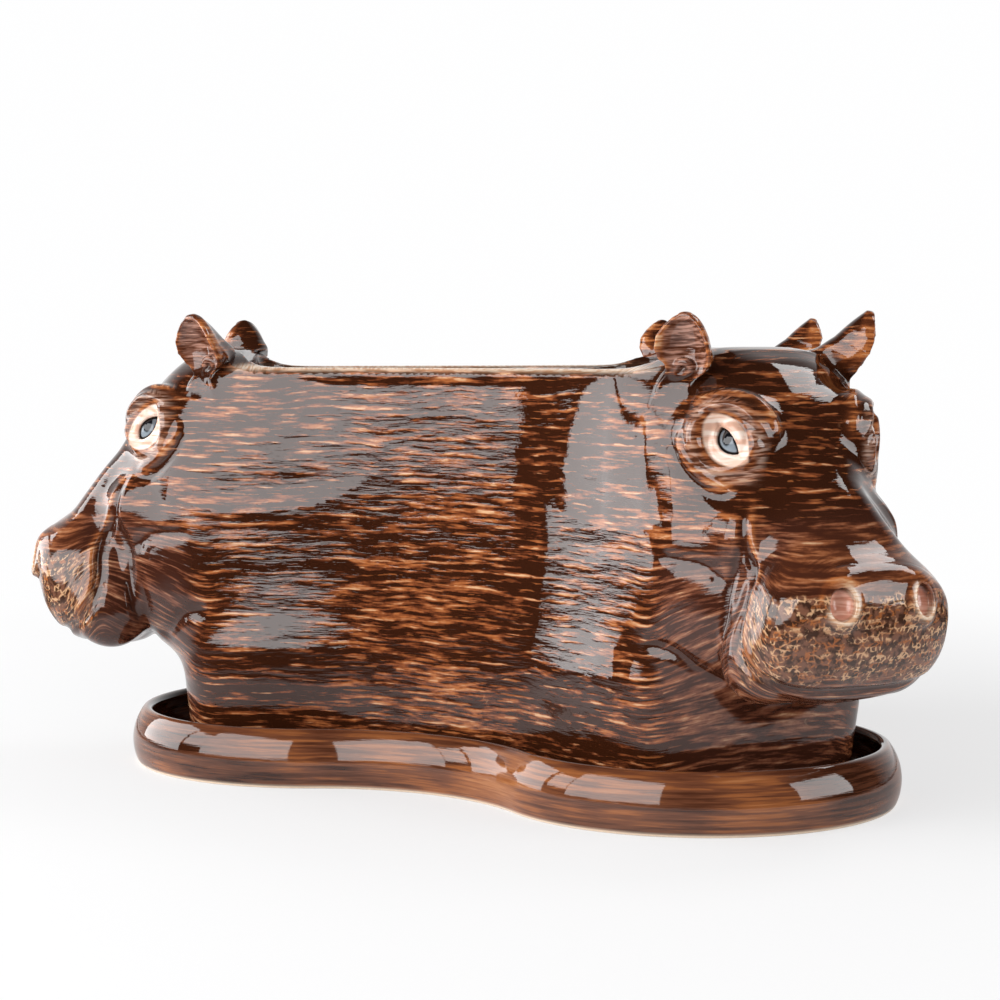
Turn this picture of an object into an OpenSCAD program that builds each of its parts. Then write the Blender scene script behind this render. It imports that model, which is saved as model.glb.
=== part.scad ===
// Three-pot planter in glazed earthenware: an open three-lobed trough with a
// hippopotamus head luted to each lobe, standing loose in a three-lobed drip saucer.
// Millimetres, +Z up, origin on the table under the middle of the saucer. Each head is
// modelled pointing along +X and then turned to its lobe.

/* [Trough] */
// Height of the trough's rim above the table
rim_height = 157; // [150:1:158]
// Thickness of the trough's wall
wall = 6; // [4:0.5:8]
// Radius of the roll along the rim
rim_roll_r = 3.7; // [3.4:0.1:4.5]
// Thickness of the trough's floor, over the foot ring's height
floor_thick = 7; // [5:0.5:10]
// From the centre to the middle of each hollowed side
waist = 84; // [81:1:86]
// From the centre to the middles of a lobe's two corner arcs
lobe_reach = 106; // [104:1:108]
// Half the width of a lobe's flat end
lobe_half = 20; // [17:1:23]
// Radius of a lobe's corners
lobe_corner_r = 25; // [23:1:27]
// Radius of the drain hole under each pot
drain_r = 6; // [4:0.5:8]
// From the centre to each drain hole
drain_reach = 66; // [60:1:72]
// Width of the foot ring that the planter stands on
foot_w = 10; // [8:1:14]
// Height of the foot ring
foot_h = 2; // [1:0.5:3]
// Radius of the vent from the trough into each hollow head
vent_r = 3.5; // [2.5:0.5:5]

/* [Saucer] */
// Height of the saucer
saucer_height = 22; // [19:0.5:24]
// Thickness of the saucer's floor
saucer_floor = 5; // [4:0.5:6.5]
// Thickness of the saucer's wall
saucer_wall = 4.5; // [4:0.5:6]
// From the centre to the middle of a saucer lobe
saucer_reach = 98; // [97:1:101]
// Radius of a saucer lobe at its widest
saucer_lobe_r = 76; // [74:1:80]
// From the centre to the middle of each hollowed side of the saucer
saucer_waist = 99; // [98:1:103]
// Radius of the bulge in the saucer's wall
saucer_bulge_r = 20; // [18:1:26]
// Height of the saucer's widest line
saucer_bulge_z = 9; // [8:0.5:11]
// Radius of the roll along the saucer's lip
saucer_lip_r = 2.7; // [2.5:0.1:3.2]

/* [Head] */
// From the lobe's end to the tip of the muzzle
head_reach = 80; // [77:0.5:83]
// Height of the crown over the trough's rim
crown_height = 7; // [5:0.5:10]
// Height of the chin above the table
chin_height = 46; // [43:1:49]
// Half the width across the cheeks
cheek_half = 46; // [44:0.5:48]
// Thickness of the head's hollow casting
head_wall = 6; // [4.5:0.5:7]
// From the lobe's end back to the axis of the neck
neck_reach = 19; // [17:0.5:21]
// Radius of the neck at the throat
neck_r = 43; // [41:0.5:44]

/* [Eyes] */
// Radius of an eyeball
eye_r = 7; // [6:0.5:7.5]
// From the lobe's end to the eyeballs' middles, along the head
eye_reach = 26.5; // [25:0.5:28]
// From the head's middle plane to each eyeball's middle
eye_half = 22; // [21:0.5:23]
// From the crown down to the eyeballs' middles
eye_height = 31; // [29.5:0.5:32]
// Radius of the brow mound round an eye
brow_r = 15.5; // [15:0.1:16]
// Radius of the hollow that an eye sits in
orbit_r = 10; // [9:0.5:11]
// Radius of the eyelid's roll
lid_r = 2.4; // [1.8:0.1:2.6]

/* [Muzzle] */
// Radius of a nostril's opening
nostril_r = 3.8; // [3:0.2:4.6]
// Depth of a nostril
nostril_depth = 5; // [4:0.5:6]
// Radius of the roll round a nostril
nostril_roll_r = 1.9; // [1.4:0.1:2.2]
// From the muzzle's tip back to the nostrils
nostril_reach = 4; // [3:0.2:5]
// From the head's middle plane to each nostril
nostril_half = 15; // [14:0.5:16]
// Height of the nostrils and of the mouth line's middle, as a share of the head's height
muzzle_height_share = 0.312; // [0.3:0.002:0.324]
// Radius of the mouth line, seen from the side
mouth_r = 27; // [25:0.5:29]
// From the muzzle's tip back to the middle of the mouth line's arc
mouth_reach = 5; // [3:0.2:7]
// Width of the mouth line
mouth_w = 2; // [1.4:0.1:3]
// Depth of the mouth line
mouth_depth = 2.4; // [1.5:0.1:3]

/* [Ears] */
// Height of an ear's leaf
ear_h = 18; // [16:0.5:20]
// Width of an ear's leaf
ear_w = 19; // [17:0.5:21]
// Radius of the root that an ear stands on
ear_root_r = 5; // [4.5:0.1:5.6]
// From the lobe's end to the ears, along the head
ear_reach = 7.5; // [6:0.5:9]
// From the head's middle plane to each ear
ear_half = 32.5; // [31.5:0.5:33.5]
// From the crown down to the seat that an ear stands on
ear_seat = 4; // [2.5:0.5:5]

/* [Hidden] */
$fn = 96;

// What a cut runs past the faces it goes through.
overrun = saucer_floor;
// Play round an eyeball in its socket, at the sides.
eye_play = eye_r / 40;

lobes = 3;
lobe_turn = 360 / lobes;
left = 180;
right = left + lobe_turn;
rear = right + lobe_turn;

// The planter's foot ring stands on the saucer's floor.
foot_z = saucer_floor;
floor_z = foot_z + foot_h + floor_thick;
// Each head starts at the flat end of its lobe.
lobe_end = lobe_reach + lobe_corner_r;
muzzle_tip = lobe_end + head_reach;
crown_z = rim_height + crown_height;
head_height = crown_z - chin_height;
muzzle_z = chin_height + muzzle_height_share * head_height;

body_glaze = "sienna";
snout_glaze = "saddlebrown";
saucer_glaze = "peru";
ear_glaze = "rosybrown";
eye_glaze = "darkslategray";

// An outline is a list: reach of the corner arcs' middles, half of the flat end, radius of
// the corners, and waist. Each corner arc runs straight on into a hollowed side's arc.
trough_outline = [lobe_reach, lobe_half, lobe_corner_r, waist];
saucer_outline = [saucer_reach, 0, saucer_lobe_r, saucer_waist];

side_way = [cos(lobe_turn / 2), sin(lobe_turn / 2)];
function corner(o) = [o[0], o[1]];
// Radius of a hollowed side's arc, and the arc's middle.
function hollow_r(o) =
    (o[2] * o[2] - o[3] * o[3] + 2 * o[3] * corner(o) * side_way - corner(o) * corner(o))
    / (2 * (o[3] - corner(o) * side_way - o[2]));
function hollow_middle(o) = (o[3] + hollow_r(o)) * side_way;
// A corner arc sweeps from the head's direction to the line through the two middles.
function corner_sweep(o) =
    let (way = (hollow_middle(o) - corner(o)) * sign(hollow_r(o))) atan2(way[1], way[0]);

function arc(middle, r, from, to, steps) = [for (i = [0:steps])
    let (a = from + (to - from) * i / steps) middle + r * [cos(a), sin(a)]];
function turned(p, a) = [p[0] * cos(a) - p[1] * sin(a), p[0] * sin(a) + p[1] * cos(a)];

// Segments in a corner's arc and in a hollowed side's arc.
corner_steps = 9;
hollow_steps = 8;

// The outline drawn in by inset: for each lobe a corner, its mirror image and a hollow.
function lobe_points(o, inset) =
    let (sweep = corner_sweep(o), r = o[2] - inset, half = sweep - lobe_turn / 2)
    concat(
        o[1] > 0 ? arc([o[0], -o[1]], r, -sweep, 0, corner_steps)
                 : arc(corner(o), r, -sweep, sweep, 2 * corner_steps),
        o[1] > 0 ? arc(corner(o), r, 0, sweep, corner_steps) : [],
        [for (i = [1:hollow_steps - 1])
            let (a = left + lobe_turn / 2 + half * (1 - 2 * i / hollow_steps))
            hollow_middle(o) + (hollow_r(o) + inset) * [cos(a), sin(a)]]);
function outline_points(o, inset) = [for (k = [0:lobes - 1])
    for (p = lobe_points(o, inset)) turned(p, left + lobe_turn * k)];
// A lobe with a flat end, as far as the first points of its hollows, closed at the centre.
function lobe_sector(o, inset) =
    let (points = lobe_points(o, inset),
         half = [for (i = [0:corner_steps + 2]) points[corner_steps + 1 + i]])
    concat([[0, 0]], [for (i = [len(half) - 1:-1:0]) [half[i][0], -half[i][1]]], half);

// A closed skin over rings with equally many points each, with a middle point at each end.
module skin(rings, first, last) {
    n = len(rings[0]);
    m = len(rings);
    points = concat([first], [for (r = rings) each r], [last]);
    function at(i, k) = 1 + i * n + (k % n);
    faces = concat(
        [for (k = [0:n - 1]) [0, at(0, k), at(0, k + 1)]],
        [for (i = [0:m - 2]) for (k = [0:n - 1])
            each [[at(i, k), at(i + 1, k), at(i + 1, k + 1)],
                  [at(i, k), at(i + 1, k + 1), at(i, k + 1)]]],
        [for (k = [0:n - 1]) [m * n + 1, at(m - 1, k + 1), at(m - 1, k)]]);
    polyhedron(points = points, faces = faces);
}

// A bowl whose profile of [inset from the outline, height] runs from the middle of its
// underside, out and up round its wall, and back to the middle of its floor.
module bowl(o, profile) {
    rings = [for (s = profile) [for (p = outline_points(o, s[0])) [p[0], p[1], s[1]]]];
    skin(rings, [0, 0, profile[0][1]], [0, 0, profile[len(profile) - 1][1]]);
}

// The saucer: a flat floor in a bulging wall with a rolled lip.
lip_z = saucer_height - saucer_lip_r;
function bulge_in(r, z) = saucer_bulge_r - sqrt(pow(r, 2) - pow(z - saucer_bulge_z, 2));
lip_middle = [bulge_in(saucer_bulge_r - saucer_wall / 2, lip_z), lip_z];
wall_steps = 3;

module saucer() {
    inner_top = lip_z - saucer_lip_r / 2;
    outside = [for (i = [0:wall_steps])
        let (z = lip_z * i / wall_steps) [bulge_in(saucer_bulge_r, z), z]];
    lip = arc(lip_middle, saucer_lip_r, left, 0, 2 * wall_steps);
    inside = [for (i = [0:wall_steps - 1])
        let (z = inner_top + (saucer_floor - inner_top) * i / (wall_steps - 1))
            [bulge_in(saucer_bulge_r - saucer_wall, z), z]];
    color(saucer_glaze) bowl(saucer_outline, concat(outside, lip, inside));
}

// The trough: an open well for three pots, with a drain hole under each and a foot ring.
roll_z = rim_height - rim_roll_r;
// How far below the roll's middle it meets the wall's faces, as an angle.
roll_dip = acos(min(wall / 2 / rim_roll_r, 1));
roll_steps = 8;
// The rim's roll from the outer face over the top to the inner face.
rim_roll = arc([wall / 2, roll_z], rim_roll_r, left + roll_dip, -roll_dip, roll_steps);

module trough() {
    profile = concat([[foot_w, foot_z + foot_h], [foot_w, foot_z], [0, foot_z]],
                     rim_roll, [[wall, floor_z]]);
    color(body_glaze) difference() {
        bowl(trough_outline, profile);
        for (k = [0:lobes - 1]) rotate(left + lobe_turn * k) {
            translate([drain_reach, 0, 0]) cylinder(r = drain_r, h = floor_z + overrun);
            translate([lobe_reach, 0, (rim_height + floor_z) / 2])
                rotate([0, 90, 0]) cylinder(r = vent_r, h = lobe_corner_r + overrun);
        }
    }
}

// The head's sections, from inside the trough to the muzzle. A row gives the reach and
// height of the section's top, the reach and height of its underside, half its width
// in the upper and in the lower part, and how square its upper part is. Reaches are
// shares of head_reach from the lobe's end, heights of the way from chin to crown, and
// widths of cheek_half.
section_shares = [
    [-0.250, 0.980, -0.250, 0.050, 0.95, 0.95, 0.76],
    [-0.038, 0.998, -0.038, 0.020, 0.97, 1.00, 0.74],
    [0.075, 1.000, 0.088, 0.000, 0.96, 1.01, 0.72],
    [0.225, 0.966, 0.238, 0.000, 0.88, 0.98, 0.62],
    [0.370, 0.881, 0.338, 0.017, 0.74, 0.91, 0.52],
    [0.488, 0.771, 0.400, 0.035, 0.61, 0.85, 0.47],
    [0.581, 0.669, 0.469, 0.010, 0.56, 0.81, 0.46],
    [0.660, 0.597, 0.544, 0.000, 0.58, 0.83, 0.46],
    [0.750, 0.513, 0.612, 0.000, 0.65, 0.85, 0.48],
    [0.829, 0.438, 0.669, 0.012, 0.72, 0.84, 0.50],
    [0.898, 0.392, 0.725, 0.030, 0.75, 0.80, 0.52],
    [0.956, 0.371, 0.810, 0.058, 0.68, 0.70, 0.52],
    [0.985, 0.339, 0.894, 0.105, 0.54, 0.56, 0.50],
    [0.997, 0.305, 0.962, 0.195, 0.28, 0.28, 0.50],
];
muzzle_tip_share = 0.254;
// How square the lower part of every section is.
jaw_square_share = 0.56;

// Where a row of the table lies between its neighbours, on a smooth curve through all rows.
function row_at(t) =
    let (last = len(section_shares) - 1, i = min(floor(t), last - 1), f = t - i,
         a = section_shares[max(i - 1, 0)], b = section_shares[i],
         c = section_shares[i + 1], d = section_shares[min(i + 2, last)])
    (2 * b + f * (c - a) + f * f * (2 * a - 5 * b + 4 * c - d)
     + f * f * f * (3 * b - a - 3 * c + d)) / 2;
function smooth(x) = let (s = min(max(x, 0), 1)) s * s * (3 - 2 * s);
function spread(x, power) = sign(x) * pow(abs(x), power);
function head_place(reach, height) =
    [lobe_end + reach * head_reach, 0, chin_height + height * head_height];

// One ring of points round the head, drawn in by inset.
function ring(t, points, inset) =
    let (r = row_at(t), top = head_place(r[0], r[1]), under = head_place(r[2], r[3]),
         middle = (top + under) / 2, up = (top - under) / 2,
         rise = 1 - inset / norm(up))
    [for (k = [0:points - 1])
        let (a = 360 * k / points,
             power = 2 - 2 * (a < 180 ? r[6] : jaw_square_share),
             s = spread(sin(a), power),
             half = cheek_half * (r[5] + (r[4] - r[5]) * smooth((s + 1) / 2)) - inset)
        middle + up * rise * s + [0, half * spread(cos(a), power), 0]];

section_count = len(section_shares);
ring_points = 28;
core_points = 16;

// The head's skin, drawn in by inset, with a number of rings from each section to the next.
module skull(inset, steps) {
    rings = [for (i = [0:steps * (section_count - 1)]) ring(i / steps, ring_points, inset)];
    first = (rings[0][0] + rings[0][ring_points / 2]) / 2;
    skin(rings, first, head_place(1, muzzle_tip_share) - [inset, 0, 0]);
}

// The hollow inside the head, which stops short of the muzzle's front.
module skull_core() {
    rings = [for (i = [0:section_count - 4]) ring(i, core_points, head_wall)];
    front = rings[section_count - 4];
    first = (rings[0][0] + rings[0][core_points / 2]) / 2;
    skin(rings, first, (front[0] + front[core_points / 2]) / 2);
}

// The neck flares from the foot to the throat. Heights are shares of the chin's height
// over the foot, and radii are shares of neck_r.
neck_shares = [[0, 0.86], [0.3, 0.87], [0.7, 0.93], [1, 1], [1.5, 1.02], [2, 1]];
function neck_profile(inset) = [for (s = neck_shares)
    [neck_r * s[1] - inset, foot_z + s[0] * (chin_height - foot_z)]];
neck_top = foot_z + neck_shares[len(neck_shares) - 1][0] * (chin_height - foot_z);

module neck() {
    translate([lobe_end - neck_reach, 0]) rotate([0, 0, -90])
        rotate_extrude(angle = 180)
            polygon(concat([[0, foot_z]], neck_profile(0), [[0, neck_top]]));
}

module neck_core() {
    translate([lobe_end - neck_reach, 0]) rotate([0, 0, -90]) intersection() {
        rotate_extrude(angle = 180)
            polygon(concat([[0, foot_z]], neck_profile(head_wall), [[0, neck_top]]));
        translate([-neck_r, -overrun, floor_z])
            cube([2 * neck_r, neck_r + overrun, neck_top]);
    }
}

// The eyes look out sideways, a little forwards and a little up.
eye_aim = 60;
eye_tilt = 8;
// The brow mound's middle lies a little behind the eyeball's and over it, and the hollow's
// middle lies before it, as shares of the mound's and the hollow's radius.
brow_in_share = 0.12;
brow_up_share = 0.12;
orbit_out_share = 1.38;

module at_eye(side) {
    mirror([0, side]) translate([lobe_end + eye_reach, eye_half, crown_z - eye_height])
        rotate([0, 90 - eye_tilt, eye_aim]) children();
}

module eyeball(play) {
    difference() {
        sphere(eye_r + play);
        translate([-2 * eye_r, -2 * eye_r, -4 * eye_r]) cube(4 * eye_r);
    }
}

module brow() {
    translate([-brow_up_share * brow_r, 0, -brow_in_share * brow_r]) sphere(brow_r);
}

module orbit() {
    translate([0, 0, orbit_out_share * orbit_r]) sphere(orbit_r);
}

module lid() {
    translate([0, 0, eye_r / 2]) rotate_extrude() translate([eye_r - lid_r / 2, 0]) circle(lid_r);
}

// The nostrils open forwards, upwards and a little outwards.
nostril_aim = 18;
nostril_tilt = 40;

module at_nostril(side) {
    mirror([0, side]) translate([muzzle_tip - nostril_reach, nostril_half, muzzle_z])
        rotate([0, 90 - nostril_tilt, nostril_aim]) children();
}

// The mouth line curls from behind the muzzle down and forwards under the nose.
mouth_start = 160;
mouth_sweep = 125;

module mouth_line() {
    difference() {
        translate([muzzle_tip - mouth_reach, 0, muzzle_z]) rotate([90, 0, 0])
            rotate_extrude(angle = mouth_sweep, start = mouth_start)
                translate([mouth_r, -cheek_half]) square([mouth_w, 2 * cheek_half]);
        skull(mouth_depth, 1);
    }
}

// What the trough takes up, with the outer half of its roll. Over the rim it goes straight
// up, so that the crown rests on the roll.
module trough_block() {
    outer_roll = [for (i = [0:roll_steps / 2]) rim_roll[i]];
    profile = concat([[0, -overrun]], outer_roll, [[wall / 2, crown_z + overrun]]);
    rings = [for (s = profile) [for (p = lobe_sector(trough_outline, s[0])) [p[0], p[1], s[1]]]];
    skin(rings, [lobe_reach, 0, -overrun], [lobe_reach, 0, crown_z + overrun]);
}

// An ear's seat is a flat-topped boss on the crown.
boss_share = 1.5;

module at_ear(side, z) {
    mirror([0, side]) translate([lobe_end + ear_reach, ear_half, z]) children();
}

module head_shell() {
    color(snout_glaze) difference() {
        union() {
            difference() {
                union() {
                    skull(0, 2);
                    for (side = [0, 1]) at_eye(side) brow();
                }
                for (side = [0, 1]) at_eye(side) orbit();
            }
            neck();
            for (side = [0, 1]) {
                at_eye(side) lid();
                at_nostril(side) rotate_extrude()
                    translate([nostril_r + nostril_roll_r / 2, 0]) circle(nostril_roll_r);
                at_ear(side, crown_z - eye_height)
                    cylinder(r = boss_share * ear_root_r, h = eye_height - ear_seat);
            }
        }
        trough_block();
        skull_core();
        neck_core();
        mouth_line();
        for (side = [0, 1]) {
            at_eye(side) eyeball(eye_play);
            at_nostril(side) translate([0, 0, -nostril_depth])
                cylinder(r = nostril_r, h = nostril_depth + overrun);
            at_ear(side, crown_z - ear_seat)
                translate([-2 * ear_root_r, -2 * ear_root_r, 0]) cube(4 * ear_root_r);
        }
    }
}

// An ear: a cupped leaf that rises from a round root with a flat end. A row gives the
// height as a share of ear_h, half the width as a share of ear_w, the thickness as a share
// of the root's width, and how far the edges curl forwards as a share of the width.
ear_shares = [
    [0.00, 0.27, 1.00, 0.00],
    [0.08, 0.36, 0.80, 0.04],
    [0.20, 0.46, 0.50, 0.14],
    [0.36, 0.50, 0.34, 0.24],
    [0.52, 0.50, 0.27, 0.30],
    [0.68, 0.44, 0.25, 0.28],
    [0.82, 0.32, 0.22, 0.22],
    [0.93, 0.17, 0.18, 0.14],
    [0.98, 0.07, 0.12, 0.06],
];
ear_points = 14;
ear_turn = 57;
ear_lean = 26;

function ear_ring(row) =
    let (z = ear_h * row[0], half = ear_w * row[1], thick = 2 * ear_root_r * row[2])
    [for (k = [0:ear_points - 1])
        let (a = 360 * k / ear_points, curl = 2 * half * row[3] * pow(cos(a), 2))
        [z * tan(ear_lean) + curl + thick / 2 * sin(a), -half * cos(a), z]];

module ear(side) {
    color(ear_glaze) at_ear(side, crown_z - ear_seat) rotate(ear_turn)
        skin([for (row = ear_shares) ear_ring(row)], [0, 0, 0],
             [ear_h * tan(ear_lean), 0, ear_h]);
}

module eye(side) {
    color(eye_glaze) at_eye(side) eyeball(0);
}

module left_head() rotate(left) head_shell();
module right_head() rotate(right) head_shell();
module rear_head() rotate(rear) head_shell();
module left_head_left_ear() rotate(left) ear(0);
module left_head_right_ear() rotate(left) ear(1);
module right_head_left_ear() rotate(right) ear(0);
module right_head_right_ear() rotate(right) ear(1);
module rear_head_left_ear() rotate(rear) ear(0);
module rear_head_right_ear() rotate(rear) ear(1);
module left_head_left_eye() rotate(left) eye(0);
module left_head_right_eye() rotate(left) eye(1);
module right_head_left_eye() rotate(right) eye(0);
module right_head_right_eye() rotate(right) eye(1);
module rear_head_left_eye() rotate(rear) eye(0);
module rear_head_right_eye() rotate(rear) eye(1);

saucer();
trough();
left_head();
right_head();
rear_head();
left_head_left_ear();
left_head_right_ear();
right_head_left_ear();
right_head_right_ear();
rear_head_left_ear();
rear_head_right_ear();
left_head_left_eye();
left_head_right_eye();
right_head_left_eye();
right_head_right_eye();
rear_head_left_eye();
rear_head_right_eye();
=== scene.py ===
"""Dresses the three-pot planter: a glazed trough with three hippopotamus heads, on its saucer.

The planter is sculpted as a distance field, in millimetres, in the frame of one head: x runs
along the head, y sideways and z up. Only half a lobe is meshed, then mirrored and turned.
"""
import math
import bpy
import bmesh
import numpy as np
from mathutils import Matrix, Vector


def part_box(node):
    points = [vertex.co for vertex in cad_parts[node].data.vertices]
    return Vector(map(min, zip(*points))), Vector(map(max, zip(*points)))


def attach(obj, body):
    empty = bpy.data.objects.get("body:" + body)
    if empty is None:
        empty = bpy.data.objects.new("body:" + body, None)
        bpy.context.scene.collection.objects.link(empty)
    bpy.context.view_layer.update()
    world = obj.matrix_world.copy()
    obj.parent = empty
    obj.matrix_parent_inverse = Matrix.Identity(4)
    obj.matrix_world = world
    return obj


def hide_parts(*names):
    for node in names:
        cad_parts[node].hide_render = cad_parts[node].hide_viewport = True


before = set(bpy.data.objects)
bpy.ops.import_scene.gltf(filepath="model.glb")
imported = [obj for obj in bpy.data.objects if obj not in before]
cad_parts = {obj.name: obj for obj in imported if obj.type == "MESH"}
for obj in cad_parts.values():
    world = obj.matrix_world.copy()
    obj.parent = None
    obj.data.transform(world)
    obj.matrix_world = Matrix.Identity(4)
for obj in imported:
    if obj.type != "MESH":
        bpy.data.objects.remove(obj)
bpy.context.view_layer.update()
MM = 0.001

# The camera was worked out from the saucer's outline in the photograph.
CAMERA_PLACE = (0.0026, -0.9267, 0.1636)
CAMERA_PITCH = math.atan2(150, 2316)  # in pixels: the horizon over the middle, the focal length
CAMERA_TURN = math.radians(1.7)
LENS = 83.4
SENSOR = 36.0

# Head directions, as the frame has them, in turn round the piece.
LOBES = {"left": 180.0, "right": 300.0, "rear": 60.0}


def frame_mm(node):
    """A node's lowest and highest corners, in millimetres."""
    low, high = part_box(node)
    return np.array(low) / MM, np.array(high) / MM


# Sizes of the trough, in millimetres.
FOOT_Z, RIM_Z = frame_mm("trough")[0][2], frame_mm("trough")[1][2]
WALL = 6.0
ROLL_R = 3.05
FLOOR_Z = FOOT_Z + 9.0
FOOT_W, FOOT_H = 10.0, 2.0
DRAIN_R, DRAIN_REACH = 6.0, 66.0
WAIST = 84.0
CORNER = np.array([106.0, 20.0])
CORNER_R = 25.0


def ease(off, on, x):
    """Runs smoothly from 0 where x is off to 1 where it is on."""
    s = np.clip((x - off) / (on - off), 0.0, 1.0)
    return s * s * (3.0 - 2.0 * s)


def union(a, b, k):
    """Joins two fields with a fillet of about k millimetres."""
    h = np.maximum(k - abs(a - b), 0.0) / k
    return np.minimum(a, b) - h * h * k * 0.25


def cut(a, b, k):
    """Takes field b out of field a, with an edge rounded over about k millimetres."""
    return -union(-a, b, k)


def length(*parts):
    return np.sqrt(sum(p * p for p in parts))


def unit(v):
    v = np.array(v, float)
    return v / np.linalg.norm(v)


def ellipsoid(q, radii):
    """Near enough the distance from an ellipsoid about the origin."""
    r = np.array(radii)
    k0 = np.linalg.norm(q / r, axis=-1)
    k1 = np.linalg.norm(q / (r * r), axis=-1)
    return k0 * (k0 - 1.0) / np.maximum(k1, 1e-6)


def spline(a, b, c, d, f):
    return 0.5 * (2 * b + f * (c - a) + f * f * (2 * a - 5 * b + 4 * c - d)
                  + f ** 3 * (3 * b - a - 3 * c + d))


def path_points(path, steps=5):
    """A smooth curve through a path's points."""
    pts = np.array(path, float)
    pts = np.vstack([2 * pts[0] - pts[1], pts, 2 * pts[-1] - pts[-2]])
    out = [spline(*pts[i - 1:i + 3], f) for i in range(1, len(pts) - 2)
           for f in np.arange(steps) / steps]
    return np.array(out + [pts[-2]])


def path_distance(p, pts):
    """How far each point is from a curve, and where along it the nearest place lies, 0 to 1."""
    best = np.full(len(p), 1e9)
    along = np.zeros(len(p))
    for i in range(len(pts) - 1):
        a, ab = pts[i], pts[i + 1] - pts[i]
        h = np.clip((p - a) @ ab / (ab @ ab), 0.0, 1.0)
        d = np.linalg.norm(p - a - h[:, None] * ab, axis=1)
        near = d < best
        best[near] = d[near]
        along[near] = (i + h[near]) / (len(pts) - 1)
    return best, along


def rounded(reach, size):
    """Near enough the distance from a rounded box, from a size that is 1 on its surface."""
    return reach * (1 - 1 / np.maximum(size, 1e-3))


# Sections of the head from inside the trough to the muzzle, in millimetres: the top's x and
# z, the underside's x and z, half the width above and below, and how square the top is.
SECTIONS = np.array([
    (111.0, 162.0, 111.0, 52.0, 43.5, 43.5, 3.8),
    (128.0, 163.6, 128.0, 47.0, 44.0, 46.0, 3.6),
    (137.0, 164.0, 138.0, 45.0, 43.0, 46.5, 3.3),
    (149.0, 160.0, 150.0, 45.0, 39.0, 45.5, 2.8),
    (160.4, 150.0, 158.0, 47.0, 31.5, 42.5, 2.5),
    (169.5, 137.0, 162.5, 50.0, 26.0, 39.0, 2.3),
    (176.7, 125.0, 168.0, 47.5, 24.0, 37.0, 2.3),
    (183.6, 116.5, 174.0, 46.3, 25.5, 38.0, 2.3),
    (190.6, 106.8, 179.3, 46.3, 29.0, 38.5, 2.4),
    (196.8, 98.0, 184.0, 47.5, 32.0, 38.0, 2.5),
    (201.8, 93.0, 188.0, 50.5, 33.0, 36.0, 2.6),
])
JAW_SQUARE = 2.5
MUZZLE_CAP = 10.0
TABLE_STEP = 0.5
TABLE_LOW = np.array([90.0, 0.0])
TABLE_SHAPE = (280, 400)


def section_rows(t):
    """The table's rows at places t, on a smooth curve through them."""
    last = len(SECTIONS) - 1
    i = np.minimum(np.floor(t).astype(int), last - 1)
    rows = [SECTIONS[np.clip(i + k, 0, last)] for k in (-1, 0, 1, 2)]
    return spline(*rows, (t - i)[:, None])


def spine(t):
    """The middles of the sections at places t, and the ways from there to their tops."""
    rows = section_rows(t)
    top, under = rows[:, 0:2], rows[:, 2:4]
    return (top + under) / 2, (top - under) / 2


def past_line(q, way):
    """More than 0 on one side of the line along the way, and less on the other."""
    return q[:, 0] * way[..., 1] - q[:, 1] * way[..., 0]


def section_table():
    """For places in the head's middle plane: which section each lies in, how far up it, and
    how far it is beyond the last section."""
    t = np.linspace(0, len(SECTIONS) - 1, 161)
    middle, up = spine(t)
    gx, gz = np.meshgrid(np.arange(TABLE_SHAPE[0]), np.arange(TABLE_SHAPE[1]), indexing="ij")
    p = np.stack([gx, gz], -1).reshape(-1, 2) * TABLE_STEP + TABLE_LOW
    where = np.zeros(len(p))
    side = past_line(p - middle[0], up[0])
    for k in range(1, len(t)):
        after = past_line(p - middle[k], up[k])
        crossed = (side > 0) & (after <= 0)
        where[crossed] = k - 1 + side[crossed] / (side[crossed] - after[crossed])
        side = after
    beyond = side > 0
    where[beyond] = len(t) - 1
    where *= t[1]
    middle, up = spine(where)
    q = p - middle
    rise = (q * up).sum(1) / (up * up).sum(1)
    ahead = past_line(q, up) / np.linalg.norm(up, axis=1)
    return np.stack([where, rise, np.where(beyond, ahead, 0.0)], -1).reshape(*TABLE_SHAPE, 3)


TABLE = section_table()


def look_up(x, z):
    """The table's values at places between its points."""
    u, v = (np.clip((a - low) / TABLE_STEP, 0, n - 1.001)
            for a, low, n in zip((x, z), TABLE_LOW, TABLE_SHAPE))
    i, j = u.astype(int), v.astype(int)
    fu, fv = (u - i)[:, None], (v - j)[:, None]
    low = TABLE[i, j] * (1 - fu) + TABLE[i + 1, j] * fu
    high = TABLE[i, j + 1] * (1 - fu) + TABLE[i + 1, j + 1] * fu
    return low * (1 - fv) + high * fv


def skull_field(p):
    t, rise, past = look_up(p[:, 0], p[:, 2]).T
    rows = section_rows(np.clip(t, 0, len(SECTIONS) - 1))
    tall = length(rows[:, 0] - rows[:, 2], rows[:, 1] - rows[:, 3]) / 2
    half = rows[:, 5] + (rows[:, 4] - rows[:, 5]) * ease(-1.0, 1.0, rise)
    power = JAW_SQUARE + (rows[:, 6] - JAW_SQUARE) * ease(-0.3, 0.4, rise)
    past = np.maximum(past, 0.0)
    size = (abs(p[:, 1] / half) ** power + abs(rise) ** power
            + (past / MUZZLE_CAP) ** power) ** (1 / power)
    return rounded(length(p[:, 1], rise * tall, past), size)


# The neck's front and half width at some heights, about an upright axis.
NECK_X = 106.0
NECK_Z = np.array([0.0, 15.0, 37.0, 50.0, 70.0, 95.0])
NECK_FRONT = np.array([147.5, 147.8, 149.8, 151.0, 153.0, 148.0])
NECK_HALF = np.array([45.0, 47.3, 50.6, 50.6, 47.3, 42.0])
NECK_SQUARE = 3.2


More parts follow.
